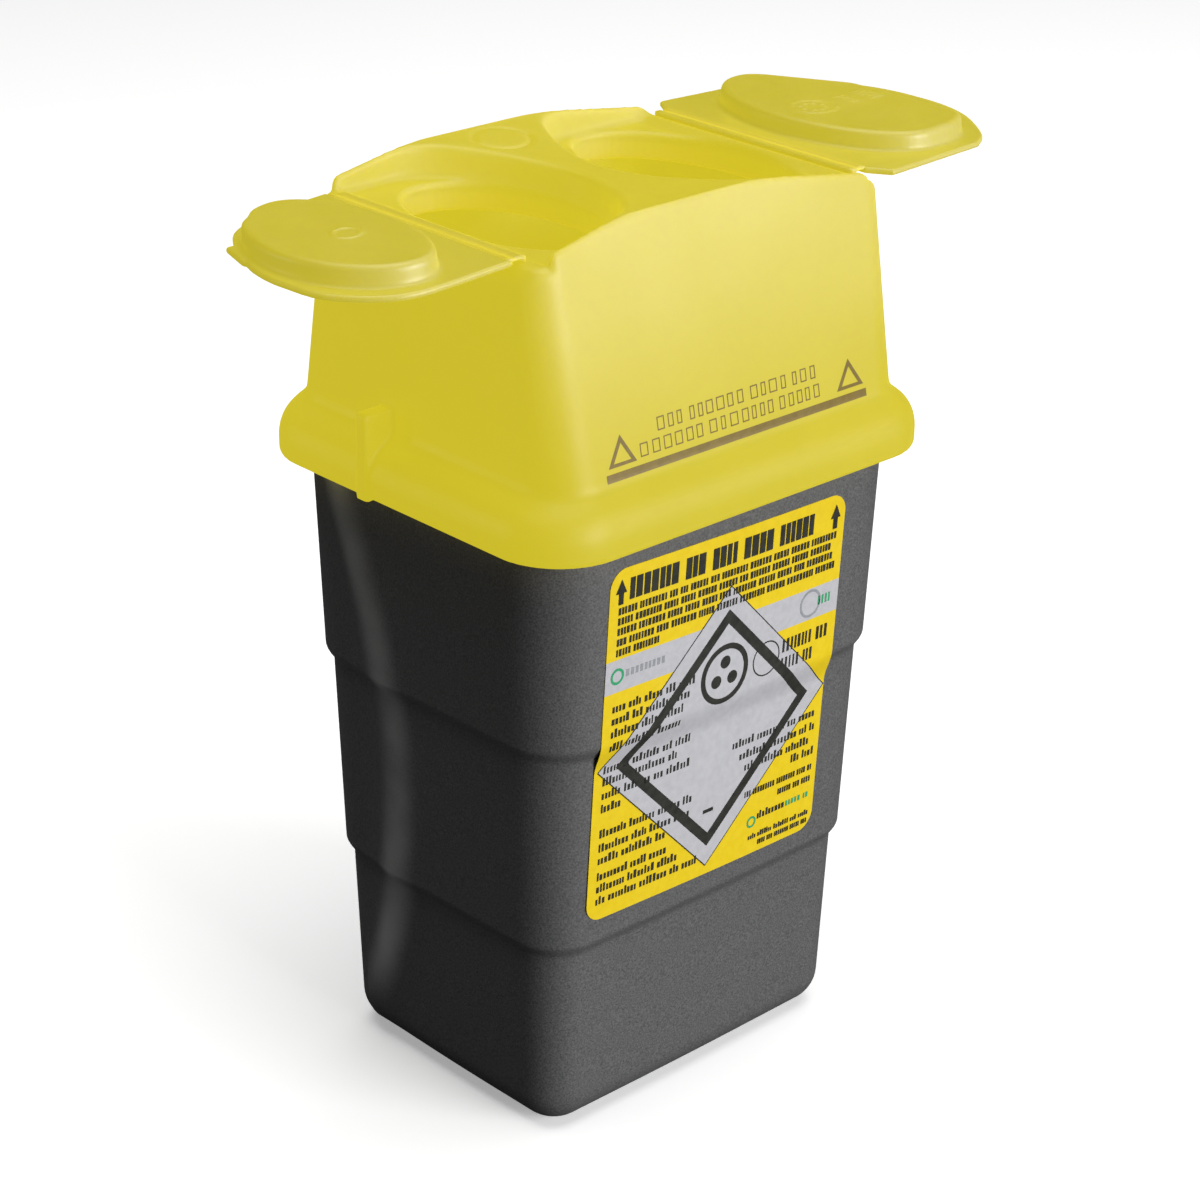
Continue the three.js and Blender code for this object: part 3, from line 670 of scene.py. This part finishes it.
def frame_strip(outer, inner):
    """Four-sided pieces between two closed outlines with the same number of points."""
    count = len(outer)
    return [[outer[i], outer[(i + 1) % count], inner[(i + 1) % count], inner[i]] for i in range(count)]


def diamond(cx, cy, half):
    return [(cx + half, cy), (cx, cy + half), (cx - half, cy), (cx, cy - half)]


def circle(cx, cy, radius, count=40):
    return [(cx + radius * math.cos(2 * math.pi * i / count),
             cy + radius * math.sin(2 * math.pi * i / count)) for i in range(count)]


def arrow_up(cx, low, high, width):
    neck = high - 0.55 * (high - low)
    stem = 0.22 * width
    return [[(cx - stem, low), (cx + stem, low), (cx + stem, neck), (cx - stem, neck)],
            [(cx - width / 2, neck), (cx + width / 2, neck), (cx, high)]]


def dummy_text(dice, left, right, base, height, weight=0.34, mixed=False, gap=0.2, stroke=0):
    """A row of upright blocks grouped like words, which says nothing; with a stroke width they are hollow."""
    blocks = []
    at = left
    while at < right - height:
        for _ in range(dice.randint(3, 9)):
            width = height * weight * dice.uniform(0.75, 1.35)
            if at + width > right:
                break
            top = height * (dice.choice((0.7, 0.7, 0.7, 1.0)) if mixed else 1)
            block = rectangle(at, at + width, base, base + top)
            if stroke:
                blocks += frame_strip(block, rectangle(at + stroke, at + width - stroke,
                                                       base + stroke, base + top - stroke))
            else:
                blocks.append(block)
            at += width + height * gap * dice.uniform(0.8, 1.2)
        at += height * 0.36
    return blocks


def label_print():
    """The label's artwork as outlines by ink, in label coordinates from its centre."""
    dice = random.Random(5)
    ink = dummy_text(dice, -26.4, 27.4, 30.9, 4.4, weight=0.3, gap=0.09)
    for side in (-28.6, 28.7):
        ink += arrow_up(side, 30.4, 35.5, 2.7)
    for base, right in ((28.3, 29.7), (26.2, 29.7), (24.1, 29.8), (21.9, 29.9), (19.75, -17.5)):
        ink += dummy_text(dice, -29, right, base, 1.45)
    blocks = (((8.1, -7.3), (5.5, -8.8), (2.8, -10), (-0.2, -10.6)),
              ((-5.4, -6.3), (-8.0, -9), (-10.9, -4.8), (-13.8, -22.1)),
              ((-19.3, -4.4), (-22.4, -5.2), (-25.1, -11)),
              ((-28.7, -11), (-31.4, -6), (-34.1, -2)))
    for block in blocks:
        for base, right in block:
            ink += dummy_text(dice, -29.1, right, base, 1.8, weight=0.28, mixed=True)
    for base, left in ((-11.4, 5.7), (-14.5, 7.9), (-17.4, 9.6), (-20.2, 23.4)):
        ink += dummy_text(dice, left, 30.2, base, 1.8, weight=0.28, mixed=True)
    for base, left in ((-23.8, 10.3), (-26.4, 20.2)):
        ink += dummy_text(dice, left, 30.2, base, 1.3, weight=0.3)
    ink += dummy_text(dice, 16.2, 30, 7.2, 2.8, weight=0.2)
    ink += dummy_text(dice, 16.2, 25.8, 3.4, 2.6, weight=0.2)
    ink += dummy_text(dice, 14.6, 22.5, -30, 1.7, weight=0.3, mixed=True)
    ink += dummy_text(dice, 12.4, 30, -34.2, 1.2, weight=0.3, mixed=True)
    ink += dummy_text(dice, 15.3, 29.8, -36.1, 1.1, weight=0.3)
    ink += frame_strip(circle(11.7, 7.4, 3.75), circle(11.7, 7.4, 3.45))
    ink += frame_strip(diamond(0.3, -4.7, 31.0), diamond(0.3, -4.7, 30.7))
    ink += frame_strip(diamond(0.3, -4.9, 26.2), diamond(0.3, -4.9, 23.2))
    ink += frame_strip(circle(0.2, 7.6, 6.4), circle(0.2, 7.6, 5.2))
    for turn in range(3):
        angle = math.pi * (0.5 + 2 * turn / 3)
        ink.append(circle(0.2 + 2.5 * math.cos(angle), 7.6 + 2.5 * math.sin(angle), 1.35, 24))
    ink += [rectangle(-1.4, 1.4, -23.4, -22.6)]
    green = dummy_text(dice, 25.6, 29.4, 14.8, 2.0, weight=0.3)
    green += dummy_text(dice, 22.9, 30.2, -30, 1.7, weight=0.3, mixed=True)
    green += frame_strip(circle(-28.4, 15.6, 1.7, 24), circle(-28.4, 15.6, 1.15, 24))
    green += frame_strip(circle(13.0, -30.2, 1.3, 24), circle(13.0, -30.2, 0.85, 24))
    grey = frame_strip(circle(23.4, 15.8, 3.0), circle(23.4, 15.8, 2.45))
    grey += dummy_text(dice, -26.2, -15.6, 15.0, 2.1, weight=0.3, mixed=True)
    band = [rectangle(-31.4, 31.4, 12.25, 19.05)]
    return {"band": band, "diamond": [diamond(0.3, -4.7, 31.0)], "ink": ink, "green": green, "grey": grey}


def label_outline():
    half_u, half_v, r = LABEL["width"] / 2, LABEL["height"] / 2, LABEL["corner"]
    points = []
    for sign_u, sign_v, start in ((1, 1, 0.0), (-1, 1, 0.5), (-1, -1, 1.0), (1, -1, 1.5)):
        for i in range(13):
            angle = (start + i / 24) * math.pi
            points.append((sign_u * (half_u - r) + r * math.cos(angle),
                           sign_v * (half_v - r) + r * math.sin(angle)))
    return points


def fill_line_print():
    """The fill line's outlines in x and z: a bar, a triangle at each end and two rows of dummy text."""
    dice = random.Random(11)
    prints = [rectangle(-34.5, 33.8, 141.5, 143.0)]
    for left, right, apex in ((-33.8, -26.8, -30.3), (25.9, 33.2, 29.6)):
        outer = [(left, 144.0), (right, 144.0), (apex, 149.6)]
        cx, cz = (left + right) / 2, 145.7
        inner = [(cx + 0.62 * (x - cx), cz + 0.62 * (z - cz)) for x, z in outer]
        prints += frame_strip(outer, inner)
    prints += dummy_text(dice, -25.8, 24, 144.3, 2.5, weight=0.62, gap=0.4, stroke=0.24)
    prints += dummy_text(dice, -21, 21, 148.0, 2.5, weight=0.62, gap=0.4, stroke=0.24)
    return prints


# ---------- materials ----------

def new_material(name, color, roughness):
    """A material with one plain colour, for whatever doesn't follow the nodes that are added to it."""
    material = bpy.data.materials.new(name)
    material.use_nodes = True
    shader = material.node_tree.nodes["Principled BSDF"]
    shader.inputs["Base Color"].default_value = (*color, 1)
    shader.inputs["Roughness"].default_value = roughness
    return material, material.node_tree, shader


def noise(tree, scale, detail=3.0, roughness=0.5):
    """Noise in the frame's own metres: scale is in lumps per metre."""
    coordinates = tree.nodes.new("ShaderNodeTexCoord")
    node = tree.nodes.new("ShaderNodeTexNoise")
    node.inputs["Scale"].default_value = scale
    node.inputs["Detail"].default_value = detail
    node.inputs["Roughness"].default_value = roughness
    tree.links.new(coordinates.outputs["Object"], node.inputs["Vector"])
    return node.outputs["Fac"]


def ramp(tree, value, low, high, at=(0.3, 0.7)):
    """A colour that runs from low to high as value runs over the two places in at."""
    node = tree.nodes.new("ShaderNodeValToRGB")
    node.color_ramp.elements[0].position = at[0]
    node.color_ramp.elements[1].position = at[1]
    node.color_ramp.elements[0].color = (*low, 1)
    node.color_ramp.elements[1].color = (*high, 1)
    tree.links.new(value, node.inputs["Fac"])
    return node.outputs["Color"]


def span(tree, value, low, high):
    """The middle of a noise's range spread over low to high."""
    node = tree.nodes.new("ShaderNodeMapRange")
    node.inputs["From Min"].default_value = 0.3
    node.inputs["From Max"].default_value = 0.7
    node.inputs["To Min"].default_value = low
    node.inputs["To Max"].default_value = high
    tree.links.new(value, node.inputs["Value"])
    return node.outputs["Result"]


def bump(tree, value, strength, distance, base=None):
    node = tree.nodes.new("ShaderNodeBump")
    node.inputs["Strength"].default_value = strength
    node.inputs["Distance"].default_value = distance
    tree.links.new(value, node.inputs["Height"])
    if base is not None:
        tree.links.new(base, node.inputs["Normal"])
    return node.outputs["Normal"]


def arithmetic(tree, operation, a, b=0.0):
    node = tree.nodes.new("ShaderNodeMath")
    node.operation = operation
    for socket, value in zip(node.inputs, (a, b)):
        if isinstance(value, (int, float)):
            socket.default_value = value
        else:
            tree.links.new(value, socket)
    return node.outputs["Value"]


def fade(tree, value, zero, one):
    """0 where value is at zero, 1 where it is at one, smooth between."""
    node = tree.nodes.new("ShaderNodeMapRange")
    node.interpolation_type = "SMOOTHSTEP"
    node.inputs["From Min"].default_value = zero
    node.inputs["From Max"].default_value = one
    tree.links.new(value, node.inputs["Value"])
    return node.outputs["Result"]


def mix(tree, factor, base, color):
    """The base colour, and towards the other colour as the factor rises to 1."""
    node = tree.nodes.new("ShaderNodeMix")
    node.data_type = "RGBA"
    tree.links.new(factor, node.inputs["Factor"])
    tree.links.new(base, node.inputs["A"])
    node.inputs["B"].default_value = (*color, 1)
    return node.outputs["Result"]


def split(tree, output):
    """The x, y and z of one of the texture coordinate outputs."""
    coordinates = tree.nodes.new("ShaderNodeTexCoord")
    node = tree.nodes.new("ShaderNodeSeparateXYZ")
    tree.links.new(coordinates.outputs[output], node.inputs["Vector"])
    return node.outputs["X"], node.outputs["Y"], node.outputs["Z"]


def painted_highlight(tree):
    """Painted highlight: how far the base colour turns pale along the swelling on the left wall, standing in
    for light caught on it.
    """
    x, y, z = split(tree, "Object")
    rise = arithmetic(tree, "DIVIDE", arithmetic(tree, "SUBTRACT", z, CREASE["z"] * MM), CREASE["reach"] * MM)
    swing = arithmetic(tree, "MULTIPLY", arithmetic(tree, "MULTIPLY", rise, rise), CREASE["swing"] * MM)
    off = arithmetic(tree, "SUBTRACT", arithmetic(tree, "SUBTRACT", y, CREASE["y"] * MM), swing)
    across = fade(tree, arithmetic(tree, "ABSOLUTE", off), PAINTED_HIGHLIGHT["half"] * MM, 0)
    on_wall = fade(tree, x, PAINTED_HIGHLIGHT["x"] * MM, (PAINTED_HIGHLIGHT["x"] - PAINTED_HIGHLIGHT["edge"]) * MM)
    above_base = fade(tree, z, PAINTED_HIGHLIGHT["low"] * MM, (PAINTED_HIGHLIGHT["low"] + PAINTED_HIGHLIGHT["fade"]) * MM)
    cloud = span(tree, noise(tree, 45, 2.0), 0.35, 1.0)
    return arithmetic(tree, "MULTIPLY", arithmetic(tree, "MULTIPLY", across, on_wall),
                      arithmetic(tree, "MULTIPLY", above_base, cloud))


def bin_material():
    """Dark grey polypropylene with a fine spark-eroded grain."""
    material, tree, shader = new_material("bin_grey", BIN_GREY["plain"], 0.5)
    mottle = ramp(tree, noise(tree, 2600, 2.0, 0.7), BIN_GREY["dark"], BIN_GREY["light"])
    # Painted highlight: the base colour turns pale along the swelling on the left wall, standing in for
    # light.
    tree.links.new(mix(tree, painted_highlight(tree), mottle, PAINTED_HIGHLIGHT["color"]), shader.inputs["Base Color"])
    tree.links.new(span(tree, noise(tree, 900), 0.44, 0.58), shader.inputs["Roughness"])
    grain = bump(tree, noise(tree, 2400, 4.0, 0.65), 0.35, 0.00012)
    wave = bump(tree, noise(tree, 22, 1.0), 0.12, 0.002, grain)
    tree.links.new(wave, shader.inputs["Normal"])
    shader.inputs["Specular IOR Level"].default_value = BIN_GREY["shine"]
    return material


def painted_sheen(tree):
    """Painted sheen for the front light's reflection: how pale the base colour turns on faces that look
    forwards, more towards the top, in soft clouds.
    """
    top = fade(tree, split(tree, "Object")[2], PAINTED_SHEEN["from_z"] * MM, PAINTED_SHEEN["to_z"] * MM)
    backwards = split(tree, "Normal")[1]
    forwards = arithmetic(tree, "MAXIMUM", arithmetic(tree, "MULTIPLY", backwards, -1.0), 0.0)
    cloud = span(tree, noise(tree, 26, 2.0), 0.7, 1.15)
    return arithmetic(tree, "MULTIPLY", arithmetic(tree, "MULTIPLY", forwards, top), cloud)


def plastic_yellow(name):
    """Translucent polypropylene with faint flow lines: the glow stands for light from behind the wall."""
    look = YELLOWS[name]
    rough = look["roughness"]
    material, tree, shader = new_material(name, look["light"], rough)
    flow = ramp(tree, noise(tree, 38, 3.0, 0.55), look["dark"], look["light"])
    # Painted sheen: the base colour turns pale on faces that look forwards, standing in for the front light's
    # reflection.
    tree.links.new(mix(tree, painted_sheen(tree), flow, PAINTED_SHEEN["color"]), shader.inputs["Base Color"])
    tree.links.new(span(tree, noise(tree, 160), rough - 0.04, rough + 0.06), shader.inputs["Roughness"])
    skin = bump(tree, noise(tree, 1500, 3.0, 0.6), 0.08, 0.00008)
    sink = bump(tree, noise(tree, 55, 1.0), 0.06, 0.001, skin)
    tree.links.new(sink, shader.inputs["Normal"])
    shader.inputs["Subsurface Weight"].default_value = 1.0
    shader.inputs["Subsurface Radius"].default_value = (1.0, 0.85, 0.12)
    shader.inputs["Subsurface Scale"].default_value = look["depth"]
    shader.inputs["Specular IOR Level"].default_value = look["shine"]
    shader.inputs["Emission Color"].default_value = (*look["glow"], 1)
    shader.inputs["Emission Strength"].default_value = 1.0
    return material


def print_material(name):
    """Ink or coated film: even colour with a faint unevenness."""
    look = INKS[name]
    rough = look["roughness"]
    material, tree, shader = new_material(name, look["light"], rough)
    tone = ramp(tree, noise(tree, 700, 2.0), look["dark"], look["light"])
    tree.links.new(tone, shader.inputs["Base Color"])
    tree.links.new(span(tree, noise(tree, 300), rough - 0.05, rough + 0.05), shader.inputs["Roughness"])
    return material


def floor_material():
    """Near white to look at, and dark for the light that it throws back at the object."""
    material, tree, shader = new_material("floor_white", (0.9, 0.9, 0.9), 0.8)
    path = tree.nodes.new("ShaderNodeLightPath")
    tone = ramp(tree, path.outputs["Is Camera Ray"], (0.08, 0.08, 0.08), (0.95, 0.95, 0.95), (0, 1))
    tree.links.new(tone, shader.inputs["Base Color"])
    tree.links.new(path.outputs["Is Camera Ray"], shader.inputs["Emission Strength"])
    shader.inputs["Emission Color"].default_value = (0.34, 0.34, 0.34, 1)
    shader.inputs["Specular IOR Level"].default_value = 0.0
    return material


# ---------- camera, lights and floor ----------

# The camera's angles in degrees, its distance and target in millimetres.
CAMERA = {"azimuth": -43.332, "elevation": 24.631, "distance": 625.57, "target": (7.387, 6.847, 90.313),
          "roll": 0.795, "lens": 91.94}

# Each light's place, aim and size in metres, and its power in watts.
LIGHTS = {
    "key": ((0.35, -1.5, 0.42), (0, 0, 0.1), (1.1, 0.8), 31),
    "top": ((0.1, 0.0, 1.6), (0, 0, 0.1), (1.6, 1.6), 23),
    "rear_strip": ((-1.1, 1.0, 0.25), (0, 0, 0.08), (0.15, 0.5), 1.7),
}


def make_camera():
    azimuth, elevation = math.radians(CAMERA["azimuth"]), math.radians(CAMERA["elevation"])
    back = Vector((math.sin(azimuth) * math.cos(elevation), -math.cos(azimuth) * math.cos(elevation),
                   math.sin(elevation)))
    right = (-back).cross(Vector((0, 0, 1))).normalized()
    up = right.cross(-back)
    roll = math.radians(CAMERA["roll"])
    side = right * math.cos(roll) + up * math.sin(roll)
    top = up * math.cos(roll) - right * math.sin(roll)
    data = bpy.data.cameras.new("camera")
    data.lens = CAMERA["lens"]
    data.sensor_width = 36
    data.clip_start = 0.01
    data.clip_end = 50
    camera = bpy.data.objects.new("camera", data)
    turn = Matrix((side, top, back)).transposed().to_4x4()
    place = (Vector(CAMERA["target"]) + back * CAMERA["distance"]) * MM
    camera.matrix_world = Matrix.Translation(place) @ turn
    bpy.context.scene.collection.objects.link(camera)
    bpy.context.scene.camera = camera


def area_light(name, place, aim, size, power):
    data = bpy.data.lights.new(name, "AREA")
    data.shape = "RECTANGLE"
    data.size, data.size_y = size
    data.energy = power
    light = bpy.data.objects.new(name, data)
    light.location = place
    light.rotation_euler = (Vector(aim) - Vector(place)).to_track_quat("-Z", "Y").to_euler()
    bpy.context.scene.collection.objects.link(light)


def make_studio():
    """Three lights, a background that is white to look at and dim as a light, and the floor."""
    for name, (place, aim, size, power) in LIGHTS.items():
        area_light(name, place, aim, size, power)
    world = bpy.data.worlds.new("studio")
    world.use_nodes = True
    tree = world.node_tree
    background = tree.nodes["Background"]
    path = tree.nodes.new("ShaderNodeLightPath")
    level = tree.nodes.new("ShaderNodeMapRange")
    level.inputs["To Min"].default_value = 0.015
    level.inputs["To Max"].default_value = 1.0
    tree.links.new(path.outputs["Is Camera Ray"], level.inputs["Value"])
    tree.links.new(level.outputs["Result"], background.inputs["Strength"])
    background.inputs["Color"].default_value = (1, 1, 1, 1)
    bpy.context.scene.world = world
    bpy.context.scene.view_settings.view_transform = "Standard"
    bm = bmesh.new()
    bmesh.ops.create_grid(bm, x_segments=8, y_segments=8, size=6)
    mesh = bpy.data.meshes.new("floor")
    bm.to_mesh(mesh)
    bm.free()
    floor = bpy.data.objects.new("floor", mesh)
    floor.location = (0, 0, -0.0002)
    floor.data.materials.append(floor_material())
    bpy.context.scene.collection.objects.link(floor)


# ---------- assembly ----------

def finish_piece(piece, material):
    piece.data.materials.clear()
    piece.data.materials.append(material)
    return piece


def build_mouldings():
    """The bin, the lid, both flaps and their webs; gives back the lid."""
    lid_yellow, flap_yellow = plastic_yellow("lid_yellow"), plastic_yellow("flap_yellow")
    shell = finish_piece(make_bin(), bin_material())
    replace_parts(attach(shell, ROOT), "container_body")
    lid = finish_piece(make_lid(), lid_yellow)
    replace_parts(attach(lid, ROOT), "lid_shell")
    for name, side in SIDES.items():
        flap = finish_piece(make_flap(name), flap_yellow)
        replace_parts(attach(flap, name), name)
        web = finish_piece(make_film(name), flap_yellow)
        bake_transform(web)
        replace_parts(web, name.replace("flap", "film_hinge"))
    return lid


def build_label():
    """The label sheet and its printed layers, cut closely where they cross the step in the wall."""
    step = STEP_LEVELS[1] - LABEL["z"]
    levels = list(np.arange(step - 6.2, step + 3.3, 0.6)) + list(range(-35, 36, 5))
    columns = list(range(-30, 31, 3))
    yellow = print_material("label_yellow")
    sheet = print_object("label_sheet", [label_outline()], label_place, SHEET["lift"], SHEET["thick"],
                         columns, levels)
    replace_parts(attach(finish_piece(sheet, yellow), ROOT), "front_label")
    white = print_material("label_white")
    inks = {"band": white, "diamond": white}
    for ink in ("ink", "green", "grey"):
        inks[ink] = print_material("label_" + ink)
    for ink, outlines in label_print().items():
        layer = print_object("label_" + ink, outlines, label_place, PRINT_LIFT[ink], PRINT_THICK,
                             columns, levels)
        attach(finish_piece(layer, inks[ink]), ROOT)


def build_fill_line(lid):
    """The fill line, laid on the lid's front wall where a line of sight from the front meets it."""
    bpy.context.view_layer.update()
    tree = BVHTree.FromObject(lid, bpy.context.evaluated_depsgraph_get())

    def lid_place(x, z, lift):
        hit = tree.ray_cast(Vector((x * MM, -0.1, z * MM)), Vector((0, 1, 0)))[0]
        return Vector((x, hit.y / MM - lift, z))

    brown = print_material("fill_ink")
    line = print_object("fill_line_print", fill_line_print(), lid_place, SHEET["lift"], PRINT_THICK,
                        list(range(-30, 31, 6)), list(range(142, 152, 2)))
    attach(finish_piece(line, brown), ROOT)


make_camera()
make_studio()
lid_piece = build_mouldings()
build_label()
build_fill_line(lid_piece)
